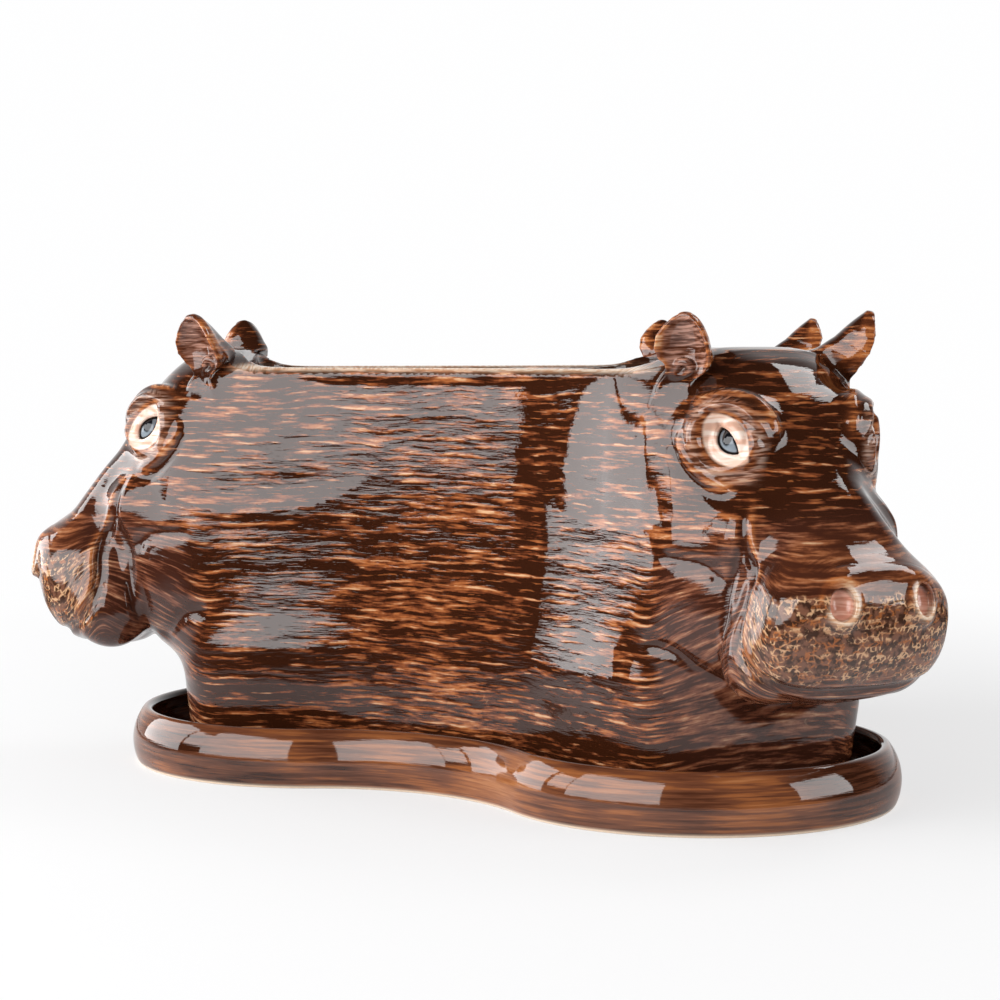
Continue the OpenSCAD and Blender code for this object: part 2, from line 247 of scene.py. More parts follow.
def neck_field(p):
    front = np.interp(p[:, 2], NECK_Z, NECK_FRONT) - NECK_X
    half = np.interp(p[:, 2], NECK_Z, NECK_HALF)
    x = p[:, 0] - NECK_X
    size = (abs(x / front) ** NECK_SQUARE
            + abs(p[:, 1] / half) ** NECK_SQUARE) ** (1 / NECK_SQUARE)
    return np.maximum(rounded(length(x, p[:, 1]), size), p[:, 2] - NECK_Z[-1])


SIDE_WAY = np.array([math.cos(math.radians(60)), math.sin(math.radians(60))])


def hollow_arc(corner, corner_r, waist):
    """Radius and middle of the hollowed side's arc that runs on from a lobe's corner arc."""
    m = corner @ SIDE_WAY
    power = corner_r ** 2 - waist ** 2 + 2 * waist * m - corner @ corner
    r = power / (2 * (waist - m - corner_r))
    return r, (waist + r) * SIDE_WAY


def outline_distance(x, y):
    """Distance outside the trough's outline, in half a lobe."""
    hollow_r, middle = hollow_arc(CORNER, CORNER_R, WAIST)
    out = hollow_r - length(x - middle[0], y - middle[1])
    way = middle - CORNER
    before = (x - CORNER[0]) * way[1] - (y - CORNER[1]) * way[0] > 0
    round_end = length(x - CORNER[0], y - CORNER[1]) - CORNER_R
    end = np.where(y < CORNER[1], x - CORNER[0] - CORNER_R, round_end)
    return np.where(before & (x > CORNER[0] - CORNER_R), end, out)


def facing(out):
    """The ways forwards along, up along and out of a spot that looks out."""
    out = unit(out)
    up = unit(np.array([0, 0, 1.0]) - out * out[2])
    return np.cross(up, out), up, out


def local(p, middle, ways):
    """How far points lie from a middle along each way."""
    q = p - middle
    return [q @ way for way in ways]


# Middles of the eye and nostril, and the root of the ear.
EYE = np.array([158.6, 23.4, 132.2])
EYE_R = 7.0
EYE_WAYS = facing([0.495, 0.858, 0.139])
NOSTRIL = np.array([206.8, 15.8, 82.0])
NOSTRIL_WAYS = facing([0.88, 0.32, 0.27])
EAR = np.array([137.0, 32.5, 156.5])
EAR_UP = unit([0.36, 0.29, 0.888])
EAR_OUT = unit([0.5, 0.78, -0.458])
EAR_WAYS = (np.cross(EAR_UP, EAR_OUT), EAR_UP, EAR_OUT)
EAR_HIGH = 22.3
EAR_SHARES = [0, 0.12, 0.3, 0.5, 0.7, 0.85, 0.95, 1.0]
EAR_HALVES = [4.6, 6.2, 8.0, 8.7, 7.9, 5.9, 3.8, 2.2]
EAR_SKIN = 0.5


def ear_sheet(w, h):
    """Half the ear's width at height h, and how far its cupped leaf stands forward there."""
    s = np.clip(h / EAR_HIGH, 0.0, 1.0)
    half = np.interp(s, EAR_SHARES, EAR_HALVES)
    bend = 0.075 * w * w - 6.0 * s + 5.5 * s * s
    return half, bend


def ear_field(p):
    """A cupped leaf with a rolled edge and a curl at the bottom of its hollow."""
    w, h, n = local(p, EAR, EAR_WAYS)
    half, bend = ear_sheet(w, h)
    thick = np.interp(h, [-6, 3, 10, EAR_HIGH], [3.6, 2.6, 1.0, 0.7])
    back = np.interp(h, [-6, 2, 12, EAR_HIGH], [5.5, 5.0, 2.2, 0.0])
    back = back * ease(1.1, 0.5, abs(w) / half)
    sheet = abs(n - bend + back / 2) * 0.8 - thick - back / 2
    edge = cut(abs(w) - half, EAR_HIGH - h, 2.5)
    within = np.minimum(np.maximum(sheet, edge), 0)
    leaf = length(np.maximum(sheet, 0), np.maximum(edge, 0)) + within - EAR_SKIN
    roll_r = 1.25 + 0.7 * ease(-2.0, 6.0, w) * ease(EAR_HIGH, 16.0, h)
    roll_r = roll_r * ease(1.0, 7.0, h)
    rolled = length(edge + 0.4, n - bend - 0.5) - roll_r
    leaf = union(leaf, np.where(h > 1, rolled, 9.0), 1.2)
    curl = length(length(w - 1.0, h - 3.0) - 2.6, n - 4.0) - 1.5
    leaf = union(leaf, curl, 1.0)
    return np.maximum(leaf, -h - 10.0)


def eye_opening(on, up):
    """Distance outside the leaf between the lids, which slants from behind and above."""
    along = 0.65 * on + 0.76 * (up - 0.6)
    across = 0.76 * on - 0.65 * (up - 0.6)
    return np.maximum(length(along, across + 2.3) - 7.5, length(along, across - 6.8) - 10.1)


def eye_field(p, head):
    """Sets the eye's orbit, socket and two lids into the head."""
    on, up, out = local(p, EYE, EYE_WAYS)
    from_eye = length(on, up, out)
    orbit = ellipsoid(np.stack([on, up - 0.5, out - 13.5], -1), (10.5, 11.0, 9.0))
    head = cut(head, orbit, 4.0)
    opening = eye_opening(on, up)
    lids = np.maximum(abs(from_eye - 7.9) - 1.0, -opening)
    lids = union(lids, length(opening + 0.2, from_eye - 7.7) - 1.0, 0.7)
    lids = union(lids, length(opening - 1.9, from_eye - 8.0) - 1.5, 1.2)
    lids = np.maximum(lids, -out)
    head = np.maximum(head, -(from_eye - EYE_R - 0.05))
    head = cut(head, np.maximum(opening, -out), 0.8)
    return union(head, lids, 1.3)


MUZZLE = np.array([187.2, 0.0, 73.2])
MUZZLE_LEAN = math.radians(12)
MUZZLE_RADII = (21.4, 35.2, 25.7)
MUZZLE_SQUARE, MUZZLE_SQUARE_UP = 2.38, 2.5
NECK_FILLET, MUZZLE_FILLET, CHIN_FILLET = 14.0, 5.0, 6.0
WALL_FILLET, EAR_FILLET = 16.0, 3.5
# Mounds of clay on the head: the middle, the radii and the fillet round each.
BROW = ((155.3, 22.4, 134.2), (16.5, 17.8, 15.3), 6.0)
CHEEK = ((165.5, 24.5, 102.0), (12.0, 10.0, 11.0), 10.0)
FLEW = ((176.5, 26.0, 62.0), (14.0, 12.5, 14.8), 6.0)
NOSE = ((200.6, 13.0, 82.6), (8.2, 9.5, 9.0), 5.0)


def muzzle_field(p):
    """The muzzle's swollen lips, as a rounded box that leans forwards."""
    q = p - MUZZLE
    x = q[:, 0] * math.cos(MUZZLE_LEAN) - q[:, 2] * math.sin(MUZZLE_LEAN)
    z = q[:, 0] * math.sin(MUZZLE_LEAN) + q[:, 2] * math.cos(MUZZLE_LEAN)
    size = (abs(x / MUZZLE_RADII[0]) ** MUZZLE_SQUARE
            + abs(q[:, 1] / MUZZLE_RADII[1]) ** MUZZLE_SQUARE
            + abs(z / MUZZLE_RADII[2]) ** MUZZLE_SQUARE_UP) ** (1 / MUZZLE_SQUARE)
    return rounded(length(x, q[:, 1], z), size)


def add_mound(head, p, mound):
    middle, radii, fillet = mound
    return union(head, ellipsoid(p - np.array(middle), radii), fillet)


def base_field(p):
    """The planter without its fine folds, for points with y over 0 in half a lobe."""
    wall_out = outline_distance(p[:, 0], p[:, 1])
    roll_z = RIM_Z - ROLL_R
    prism = np.maximum(wall_out, p[:, 2] - roll_z)
    head = union(skull_field(p), neck_field(p), NECK_FILLET)
    head = add_mound(add_mound(head, p, BROW), p, CHEEK)
    head = union(head, muzzle_field(p), MUZZLE_FILLET)
    head = add_mound(head, p, FLEW)
    # The chin is a slanting cut that bows a little.
    chin = 93.9 + 0.002 * p[:, 1] ** 2 - 0.67 * p[:, 0] + 0.74 * p[:, 2]
    head = cut(head, chin, CHIN_FILLET)
    near = (abs(p - EYE) < 26).all(1)
    head[near] = eye_field(p[near], head[near])
    head = add_mound(head, p, NOSE)
    near = (abs(p - NOSTRIL) < 14).all(1)
    on, up, out = local(p[near], NOSTRIL, NOSTRIL_WAYS)
    ring = length(length(on, up * 0.78) - 4.9, out - 0.3) - 1.6
    pit = ellipsoid(np.stack([on, up * 0.78, out - 1.6], -1), (4.3, 4.3, 3.2))
    head[near] = cut(union(head[near], ring, 2.2), pit, 0.8)
    solid = union(prism, head, WALL_FILLET)
    near = (abs(p - EAR - 14 * EAR_UP) < 34).all(1)
    solid[near] = union(solid[near], ear_field(p[near]), EAR_FILLET)
    well = np.maximum(wall_out + WALL, FLOOR_Z - p[:, 2])
    solid = cut(solid, well, 2.0)
    lip = length(wall_out + WALL / 2, p[:, 2] - roll_z) - ROLL_R
    solid = union(solid, lip, 1.5)
    solid = cut(solid, length(p[:, 0] - DRAIN_REACH, p[:, 1]) - DRAIN_R, 1.5)
    solid = cut(solid, np.maximum(wall_out + FOOT_W, p[:, 2] - FOOT_Z - FOOT_H), 0.8)
    return np.maximum(solid, FOOT_Z - p[:, 2])


# Folds and creases: a path near the surface, how wide it is, and how far it stands out, or
# in where the number is negative.
FOLDS = {
    "mouth": ([(169, 26, 117), (175, 33, 108), (179, 38, 96), (178, 39, 86), (179, 39, 76),
               (183, 38, 64), (190, 34, 56), (197, 24, 51), (199, 10, 49), (199, 0, 49)],
              1.9, -2.4),
    "lip": ([(172, 26, 118), (178, 32, 108), (182, 38, 96), (182, 39, 86), (183, 39, 75),
             (187, 38, 63), (193, 34, 55)], 1.6, 0.6),
    "fold_behind": ([(172, 27, 104), (171, 31, 95), (169, 34, 86), (168, 36, 76), (166, 36, 66),
                     (165, 30, 56)], 1.7, -1.5),
    "cheek": ([(142, 45, 94), (155, 41, 93), (162, 37, 91), (168, 35, 85)], 2.6, -1.6),
    "throat": ([(134, 44, 64), (146, 41, 62), (153, 34, 55), (158, 24, 50)], 2.6, -1.8),
    "eye_bag": ([(147, 36, 137), (148, 37, 131), (152, 37, 126), (156, 36, 122), (161, 32, 119),
                 (167, 27, 117)], 1.7, 1.3),
    "under_bag": ([(145, 38, 134), (147, 39, 127), (152, 39, 121), (160, 35, 115),
                   (168, 28, 113)], 1.9, -0.9),
    "brow": ([(147, 34, 142), (152, 30, 146), (158, 25, 148), (164, 20, 146), (170, 16, 140),
              (174, 14, 132)], 2.4, 1.7),
    "under_brow": ([(150, 36, 139), (156, 32, 143), (163, 28, 143), (169, 24, 138),
                    (173, 20, 129)], 1.6, -1.2),
}


def on_surface(points, steps=12):
    """Points moved onto the plain surface along its slope."""
    for _ in range(steps):
        f, g = slope(base_field, points)
        points = points - (f * 0.8)[:, None] * g / np.maximum((g * g).sum(1), 0.05)[:, None]
    return points


def slope(field, p, h=0.25):
    g = np.stack([field(p + h * e) - field(p - h * e) for e in np.eye(3)], -1) / (2 * h)
    return field(p), g


FOLD_PATHS = {name: on_surface(path_points(fold[0])) for name, fold in FOLDS.items()}


def bowed(d, w):
    """1 on a line and next to nothing two widths from it."""
    return np.exp(-(d / w) ** 2)


def fold_shares(p):
    """How strongly each fold acts on each point, from 0 to 1."""
    shares = {}
    for name, (_, w, _) in FOLDS.items():
        pts = FOLD_PATHS[name]
        near = ((p > pts.min(0) - 3 * w) & (p < pts.max(0) + 3 * w)).all(1)
        shares[name] = np.zeros(len(p))
        d, along = path_distance(p[near], pts)
        fade = ease(0.0, 0.2, along)
        if name != "mouth":
            fade = fade * ease(0.0, 0.2, 1 - along)
        shares[name][near] = bowed(d, w) * fade
    return shares


def planter_field(p):
    """The whole fired planter, for points anywhere in half a lobe and a little beyond."""
    beyond = np.maximum(p[:, 1] * SIDE_WAY[0] - p[:, 0] * SIDE_WAY[1], 0.0)
    p = p - 2 * beyond[:, None] * np.array([-SIDE_WAY[1], SIDE_WAY[0], 0.0])
    p[:, 1] = abs(p[:, 1])
    f = base_field(p)
    for name, share in fold_shares(p).items():
        f -= FOLDS[name][2] * share
    return f


BATCH = 200000
NEAR_BLOCKS = 1.9  # how many blocks' widths from the surface a block's middle may be


def surface_net(field, low, high, cell, coarse=4):
    """A mesh of quads through the field's zero level, on a grid of the given cell size."""
    count = np.ceil((np.array(high) - low) / cell / coarse).astype(int)
    grid = np.stack(np.meshgrid(*[np.arange(n) + 0.5 for n in count], indexing="ij"), -1)
    middle = grid.reshape(-1, 3) * cell * coarse + low
    near = abs(field(middle)) < cell * coarse * NEAR_BLOCKS
    shape = count * coarse + 1
    wanted = np.zeros(shape, bool)
    for i, j, k in np.stack(np.unravel_index(np.nonzero(near)[0], count), -1) * coarse:
        wanted[i:i + coarse + 1, j:j + coarse + 1, k:k + coarse + 1] = True
    f = np.full(shape, np.nan)
    places = np.argwhere(wanted)
    for part in np.array_split(np.arange(len(places)), max(1, len(places) // BATCH)):
        f[tuple(places[part].T)] = field(places[part] * cell + low)
    total = np.zeros((int(shape.prod()), 3))
    hits = np.zeros(int(shape.prod()))
    quads = []
    step = np.array([shape[1] * shape[2], shape[2], 1])
    for axis in range(3):
        a, b = (f.take(np.arange(shape[axis] - 1) + k, axis) for k in (0, 1))
        at = np.argwhere(((a < 0) != (b < 0)) & ~np.isnan(a + b))
        u, v = (axis + 1) % 3, (axis + 2) % 3
        at = at[(at[:, u] > 0) & (at[:, v] > 0)]
        fa, fb = a[tuple(at.T)], b[tuple(at.T)]
        place = at.astype(float)
        place[:, axis] += fa / (fa - fb)
        first = at @ step
        cells = np.stack([first, first - step[u], first - step[u] - step[v], first - step[v]], -1)
        for column in cells.T:
            hits += np.bincount(column, minlength=len(hits))
            for k in range(3):
                total[:, k] += np.bincount(column, weights=place[:, k], minlength=len(hits))
        flip = fa > 0
        cells[flip] = cells[flip][:, ::-1]
        quads.append(cells)
    quads = np.vstack(quads)
    used, index = np.unique(quads, return_inverse=True)
    verts = total[used] / hits[used][:, None] * cell + low
    return verts, index.reshape(quads.shape)


def paint(p, normal):
    """What colours each point gets, from its place and slope in a head's frame, and the height
    that the rows of brush marks follow there."""
    x, y, z = p.T
    f = planter_field(p)
    curve = sum(planter_field(p + 1.6 * e) + planter_field(p - 1.6 * e) for e in np.eye(3)) - 6 * f
    shares = fold_shares(p)

    def folds(**strengths):
        return sum(strength * shares[name] for name, strength in strengths.items())

    wall_out = outline_distance(x, y)
    inside = ease(-3.5, -5.0, wall_out) * ease(RIM_Z + 2, RIM_Z - 3, z)
    on_head = ease(116.0, 132.0, x) * (1 - inside)
    on, up, out_of_eye = local(p, EYE, EYE_WAYS)
    around_eye = eye_opening(on, up)
    lid = ease(3.4, 2.4, around_eye) * ease(1.0, 3.0, out_of_eye) * on_head
    lid_edge = bowed(around_eye - 4.0, 0.8) * ease(1.0, 3.0, out_of_eye) * on_head
    w, h, n = local(p, EAR, EAR_WAYS)
    half, bend = ear_sheet(w, h)
    on_ear = ease(1.0, 6.0, h) * ease(14.0, 10.0, abs(w)) * ease(120.0, 126.0, x)
    on_ear = on_ear * ease(12.0, 8.0, abs(n - bend))
    ear_in = on_ear * ease(-0.2, 0.4, normal @ EAR_OUT) * ease(0.3, -1.5, abs(w) - half)
    ear_edge = on_ear * ease(-2.0, -0.3, abs(w) - half)
    on, up, out = local(p, NOSTRIL, NOSTRIL_WAYS)
    from_nostril = length(on, up * 0.84)
    near_nostril = ease(8.0, 4.0, abs(out))
    nostril_in = ease(4.5, 3.6, from_nostril) * near_nostril
    nostril_rim = bowed(from_nostril - 5.1, 1.0) * near_nostril * ease(5.0, 0.0, up + on)
    nostril_line = bowed(from_nostril - 7.2, 0.9) * near_nostril * ease(-3.0, 1.0, up)
    ridge = ease(27.0, 17.0, abs(y)) * ease(133.0, 140.0, x)
    crown = ease(148.0, 156.0, z) * ease(46.0, 38.0, abs(y)) * on_head
    snout = np.maximum(ridge * ease(96.0, 104.0, z), crown)
    flat = ease(0.72, 0.92, abs(normal[:, 2]))
    speckle = ease(88.0, 81.0, z) * ease(177.0, 184.0, x) * ease(50.0, 62.0, z)
    jowl = ease(104.0, 86.0, z + 0.4 * (150 - x)) * ease(135.0, 150.0, x) * (1 - speckle)
    rim_top = bowed(z - RIM_Z, 1.2) * ease(-6.5, -3.5, wall_out) * ease(132.0, 118.0, x)
    rim_under = bowed(z - RIM_Z + 3.0, 0.8) * ease(-1.5, -0.5, wall_out) * ease(132.0, 118.0, x)
    foot = ease(FOOT_Z + 2.6, FOOT_Z + 1.2, z)
    # Darker paint on the snout and crown, in the line under the rim and in streaks on the walls.
    # In the creases the darkening is partly the folds' dark paint and partly painted shade. The
    # trough's inside and the ears' hollows are also darker.
    crease_paint_and_shade = np.clip(folds(mouth=1.0, fold_behind=0.7, cheek=0.6, throat=0.7, under_bag=0.5,
                           under_brow=0.7), 0, 1)
    dark = np.clip(0.9 * snout + crease_paint_and_shade + 0.9 * rim_under + 0.5 * inside + 0.35 * ear_in
                   + 0.7 * ease(42.0, 78.0, x) - 0.3 * ease(100.0, 130.0, x), 0, 1)
    nose = ease(84.0, 90.0, z) * ease(112.0, 98.0, z) * ease(184.0, 192.0, x)
    orange = np.clip(folds(lip=0.9, eye_bag=0.9, brow=0.6) + ear_edge + nostril_line + 0.4 * nose
                     + 0.3 * ease(50.0, 25.0, x) * (1 - inside), 0, 1)
    orbit = bowed(around_eye - 6.5, 2.4) * ease(1.0, 4.0, out_of_eye) * on_head
    cream = np.clip(rim_top + 0.9 * lid + nostril_rim, 0, 1)
    slant = ease(104.0, 70.0, z) * ease(128.0, 150.0, x) * ease(196.0, 176.0, x)
    across = z - 0.5 * (x - 140) * slant
    groups = {
        "paint_a": (dark, orange, cream),
        "paint_b": (speckle, jowl, orbit),
        "paint_c": (np.clip(0.5 + curve * 0.35, 0, 1), lid, nostril_in),
        "paint_d": (ear_in, foot, flat),
        "paint_e": (lid_edge,) * 3,
    }
    return {name: np.stack(group, -1) for name, group in groups.items()}, across


# Fine parts of the sculpt: each is a box with its own, smaller cell, cut out of the rest.
FINE_BOXES = {
    "ear": ((122.0, 18.0, 149.0), (162.0, 54.0, 183.0), 0.55),
    "eye": ((144.0, 9.0, 118.0), (174.0, 45.0, 149.0), 0.5),
    "nostril": ((196.0, 4.0, 71.0), (214.0, 27.0, 96.0), 0.6),
    "mouth": ((162.0, 20.0, 46.0), (196.0, 46.0, 118.0), 0.8),
}
LOBE_BOX = ((-2.0, -3.0, 2.0), (217.0, 80.0, 191.0))
LOBE_CELL, QUICK_LOBE_CELL = 1.35, 2.2
SNAP = 0.15  # of a cell: how near a plane a point has to be to go onto it
EVERYWHERE = (np.full(3, -999.0), np.full(3, 999.0))
END_PLANES = [((0.0, 1.0, 0.0), 0.0), ((SIDE_WAY[1], -SIDE_WAY[0], 0.0), 0.0)]
ON_PLANE = 0.002
NEAR_HOLE = 5.0


def box_planes(low, high):
    """The six faces of a box, as normals that point into it and offsets."""
    out = []
    for axis in np.eye(3):
        out.append((tuple(axis), float(axis @ low)))
        out.append((tuple(-axis), -float(axis @ high)))
    return out


def with_limits(planes, limits, holes):
    """Planes with the box that each one counts in: the limits, or else its own hole."""
    return [(*plane, *limits) for plane in planes] + [
        (*plane, *hole) for hole in holes for plane in box_planes(*hole)]


def in_box(p, low, high, margin=0.0):
    return ((p > np.array(low) - margin) & (p < np.array(high) + margin)).all(-1)


def faces_in(bm, low, high, margin=0.0):
    return [f for f in bm.faces if in_box(np.array(f.calc_center_median()), low, high, margin)]


def trim(verts, faces, planes, snap, holes=()):
    """Cuts a mesh along planes, dropping what lies outside them and what lies in the holes."""
    for normal, offset, *limits in with_limits(planes, EVERYWHERE, holes):
        d = verts @ normal - offset
        near = (abs(d) < snap) & in_box(verts, *limits, 2 * snap)
        verts[near] -= np.outer(d[near], normal)
    mesh = bpy.data.meshes.new("trimmed")
    mesh.from_pydata(verts.tolist(), [], faces)
    bm = bmesh.new()
    bm.from_mesh(mesh)
    for normal, offset in planes:
        geom = bm.verts[:] + bm.edges[:] + bm.faces[:]
        bmesh.ops.bisect_plane(bm, geom=geom, plane_co=Vector(normal) * offset, plane_no=normal,
                               dist=ON_PLANE / 2, clear_inner=True)
    for low, high in holes:
        for normal, offset in box_planes(low, high):
            near = faces_in(bm, low, high, NEAR_HOLE)
            edges = {e for f in near for e in f.edges}
            corners = {v for f in near for v in f.verts}
            bmesh.ops.bisect_plane(bm, geom=near + list(edges) + list(corners),
                                   plane_co=Vector(normal) * offset, plane_no=normal,
                                   dist=ON_PLANE / 2)
        bmesh.ops.delete(bm, geom=faces_in(bm, low, high), context="FACES")
    bm.to_mesh(mesh)
    bm.free()
    verts = np.zeros(len(mesh.vertices) * 3)
    mesh.vertices.foreach_get("co", verts)
    faces = [tuple(f.vertices) for f in mesh.polygons]
    bpy.data.meshes.remove(mesh)
    return verts.reshape(-1, 3), faces


def settle(verts, planes, cell):
    """Moves points onto the sculpt, those on a plane within it, and gives the slopes there.

    A plane without limits is one that the lobe is mirrored in, so the slopes lie in it too.
    """
    held = []
    for normal, offset, low, high in planes:
        on = abs(verts @ normal - offset) < ON_PLANE
        if low is not None:
            on &= in_box(verts, low, high, ON_PLANE * 2)
        held.append((on, np.array(normal), offset))
    for _ in range(3):
        f, g = slope(planter_field, verts)
        for on, normal, offset in held:
            g[on] -= np.outer(g[on] @ normal, normal)
        step = (f / np.maximum((g * g).sum(1), 0.2))[:, None] * g
        verts = verts - np.clip(step, -cell, cell)
        for on, normal, offset in held:
            verts[on] -= np.outer(verts[on] @ normal - offset, normal)
    normals = slope(planter_field, verts, 0.3)[1]
    for (on, normal, offset), (_, _, low, _) in zip(held, planes):
        if low is None:
            normals[on] -= np.outer(normals[on] @ normal, normal)
    return verts, normals / np.maximum(np.linalg.norm(normals, axis=1), 1e-6)[:, None]


def half_lobe():
    """Half a lobe as points in millimetres, faces and slopes."""
    holes = [box[:2] for box in FINE_BOXES.values()]
    cell = LOBE_CELL
    parts = [(*LOBE_BOX, cell, END_PLANES, holes)]
    for low, high, cell in FINE_BOXES.values():
        cell = cell * 1.0
        rim = 2 * cell
        parts.append((np.array(low) - rim, np.array(high) + rim, cell, box_planes(low, high), ()))
    all_verts, all_faces, all_normals = [], [], []
    start = 0
    for low, high, cell, planes, part_holes in parts:
        verts, quads = surface_net(planter_field, low, high, cell)
        verts, faces = trim(verts, quads.tolist(), planes, SNAP * cell, part_holes)
        limits = (None, None) if part_holes else EVERYWHERE
        verts, normals = settle(verts, with_limits(planes, limits, part_holes), cell)
        all_verts.append(verts)
        all_normals.append(normals)
        all_faces += [tuple(start + i for i in f) for f in faces]
        start += len(verts)
    return np.vstack(all_verts), all_faces, np.vstack(all_normals)


def turned(points, degrees):
    a = math.radians(degrees)
    m = np.array([[math.cos(a), math.sin(a), 0], [-math.sin(a), math.cos(a), 0], [0, 0, 1]])
    return points @ m


# The ears were put on by hand: what each one's root and tip stand off the common place, along
# the head, away from its middle and up.
EAR_SHIFTS = {("right", "right"): ((4.0, -3.0, 0.0), (3.2, -1.6, -1.0)),
              ("right", "left"): ((0.0, 0.0, 0.0), (1.0, 2.3, 0.0)),
              ("left", "left"): ((-4.5, 0.0, 0.0), (-2.6, 0.0, 0.0)),
              ("left", "right"): ((-9.5, -1.0, 0.0), (-11.5, -1.0, -1.5)),
              ("rear", "left"): ((2.0, -8.5, 0.0), (2.0, -6.5, 0.0)),
              ("rear", "right"): ((2.0, 1.5, 0.0), (2.0, 4.0, 0.1))}


def lean_ear(verts, shifts):
    """Moves an ear by its own shifts, which fade out under its root."""
    on, up, out = local(verts, EAR, EAR_WAYS)
    near = ease(17.0, 12.0, abs(on)) * ease(15.0, 11.0, abs(out))
    share = near * ease(-3.5, 5.0, up) * (verts[:, 0] > 122.0) * (verts[:, 1] > 12.0)
    tip = np.clip(up / EAR_HIGH, 0.0, 1.0)[:, None]
    root_shift, tip_shift = np.array(shifts)
    return verts + share[:, None] * (root_shift * (1 - tip) + tip_shift * tip)


def add_object(name, data):
    piece = bpy.data.objects.new(name, data)
    bpy.context.scene.collection.objects.link(piece)
    return piece


def make_piece(name, body, material, verts, faces, normals=None, colours=None, brushes=None):
    """A smooth mesh piece from points in millimetres, which rides on a body."""
    mesh = bpy.data.meshes.new(name)
    mesh.from_pydata((verts * MM).tolist(), [], faces)
    mesh.polygons.foreach_set("use_smooth", [True] * len(mesh.polygons))
    for key, values in (colours or {}).items():
        layer = mesh.attributes.new(key, "FLOAT_COLOR", "POINT")
        rgba = np.ones((len(verts), 4), np.float32)
        rgba[:, :3] = values
        layer.data.foreach_set("color", rgba.ravel())
    for key, values in (brushes or {}).items():
        layer = mesh.attributes.new(key, "FLOAT_VECTOR", "POINT")
        layer.data.foreach_set("vector", values.astype(np.float32).ravel())
    mesh.materials.append(material)
    mesh.validate()
    if normals is not None:
        mesh.normals_split_custom_set_from_vertices(normals.tolist())
    piece = add_object(name, mesh)
    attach(piece, body)
    return piece


class Nodes:
    """Builds the nodes of a material or a world. An input that gets None stays as it is."""

    def __init__(self, owner):
        owner.use_nodes = True
        self.tree = owner.node_tree

    def node(self, kind, *values, **settings):
        n = self.tree.nodes.new("ShaderNode" + kind)
        for key, value in settings.items():
            setattr(n, key, value)
        for socket, value in zip(n.inputs, values):
            self.put(socket, value)
        return n

    def put(self, socket, value):
        if isinstance(value, bpy.types.NodeSocket):
            self.tree.links.new(value, socket)
        elif value is not None:
            socket.default_value = value

    def fill(self, n, **values):
        """Sets inputs by name, with _ for a space."""
        for key, value in values.items():
            self.put(n.inputs[key.replace("_", " ")], value)
        return n

    def math(self, operation, a, b=None):
        return self.node("Math", a, b, operation=operation).outputs[0]

    def add(self, a, b):
        return self.math("ADD", a, b)

    def less(self, a, b):
        return self.math("SUBTRACT", a, b)

    def times(self, a, b):
        return self.math("MULTIPLY", a, b)

    def total(self, *parts):
        """The sum of some values, each times its share."""
        out = self.times(*parts[0])
        for value, share in parts[1:]:
            out = self.add(out, self.times(value, share))
        return out

    def step(self, value, low, high, to=(0.0, 1.0), kind="SMOOTHSTEP"):
        return self.node("MapRange", value, low, high, *to, interpolation_type=kind).outputs[0]

    def parts(self, vector):
        return self.node("SeparateXYZ", vector).outputs[:3]


class Shader(Nodes):
    """Builds the nodes of a new material."""

    def __init__(self, name):
        self.material = bpy.data.materials.new(name)
        super().__init__(self.material)
        self.out = self.tree.nodes["Principled BSDF"]

    def mix(self, share, a, b):
        n = self.node("Mix", share, data_type="RGBA")
        for socket, value in zip(n.inputs[6:8], (a, b)):
            self.put(socket, value if isinstance(value, bpy.types.NodeSocket) else (*value, 1.0))
        return n.outputs[2]

    def mix_value(self, share, a, b):
        return self.node("Mix", share, None, a, b, data_type="FLOAT").outputs[0]

    def noise(self, vector, scale, detail=2.0, rough=0.5, distortion=0.0):
        return self.fill(self.node("TexNoise"), Vector=vector, Scale=scale, Detail=detail,
                         Roughness=rough, Distortion=distortion).outputs[0]

    def cell_edges(self, vector, scale):
        n = self.node("TexVoronoi", feature="DISTANCE_TO_EDGE")
        return self.fill(n, Vector=vector, Scale=scale).outputs["Distance"]

    def long_noise(self, vector, scale, place=(0, 0, 0), *settings):
        """Noise that is drawn out, by its own scale each way."""
        return self.noise(self.node("Mapping", vector, place, None, scale).outputs[0], 1.0,
                          *settings)

    def bend(self, vector, scale, reach):
        """Shifts a vector this way and that by a soft noise, by up to half the reach."""
        drift = self.fill(self.node("TexNoise"), Vector=vector, Scale=scale).outputs["Color"]
        return self.node("VectorMath", drift, (reach, reach, reach), vector,
                         operation="MULTIPLY_ADD").outputs[0]

    def attribute(self, name, kind="Vector"):
        return self.node("Attribute", attribute_name=name).outputs[kind]

    def channels(self, name):
        return self.node("SeparateColor", self.attribute(name, "Color")).outputs[:3]

    def bump(self, height, distance):
        """Gives the glaze and the clay under it a relief, in metres for a height of 1."""
        relief = self.fill(self.node("Bump"), Height=height, Distance=distance).outputs[0]
        self.fill(self.out, Normal=relief, Coat_Normal=relief)

    def glaze(self, colour, roughness):
        self.fill(self.out, Base_Color=colour, Roughness=roughness, IOR=1.45,
                  Specular_IOR_Level=0.0, Coat_Weight=1.0, Coat_Roughness=0.02, Coat_IOR=1.55)
        return self.material


# Glaze colours, in linear light.
NIGHT = (0.030, 0.008, 0.003)
BARK = (0.080, 0.021, 0.008)
RUST = (0.19, 0.053, 0.018)
AMBER = (0.33, 0.105, 0.032)
PEACH = (0.60, 0.36, 0.20)
CREAM = (0.80, 0.64, 0.49)
ROSE = (0.50, 0.27, 0.20)
SLATE = (0.13, 0.15, 0.17)
BARE_CLAY = (0.72, 0.56, 0.40)


def ramp(shader, value, stops):
    """A colour that runs through stops of place and colour as a value grows."""
    colour = stops[0][1]
    for (low, _), (high, after) in zip(stops, stops[1:]):
        colour = shader.mix(shader.step(value, low, high), colour, after)
    return colour


ROWS_TURN = 2.3  # radians of the rows' wave in a millimetre of height


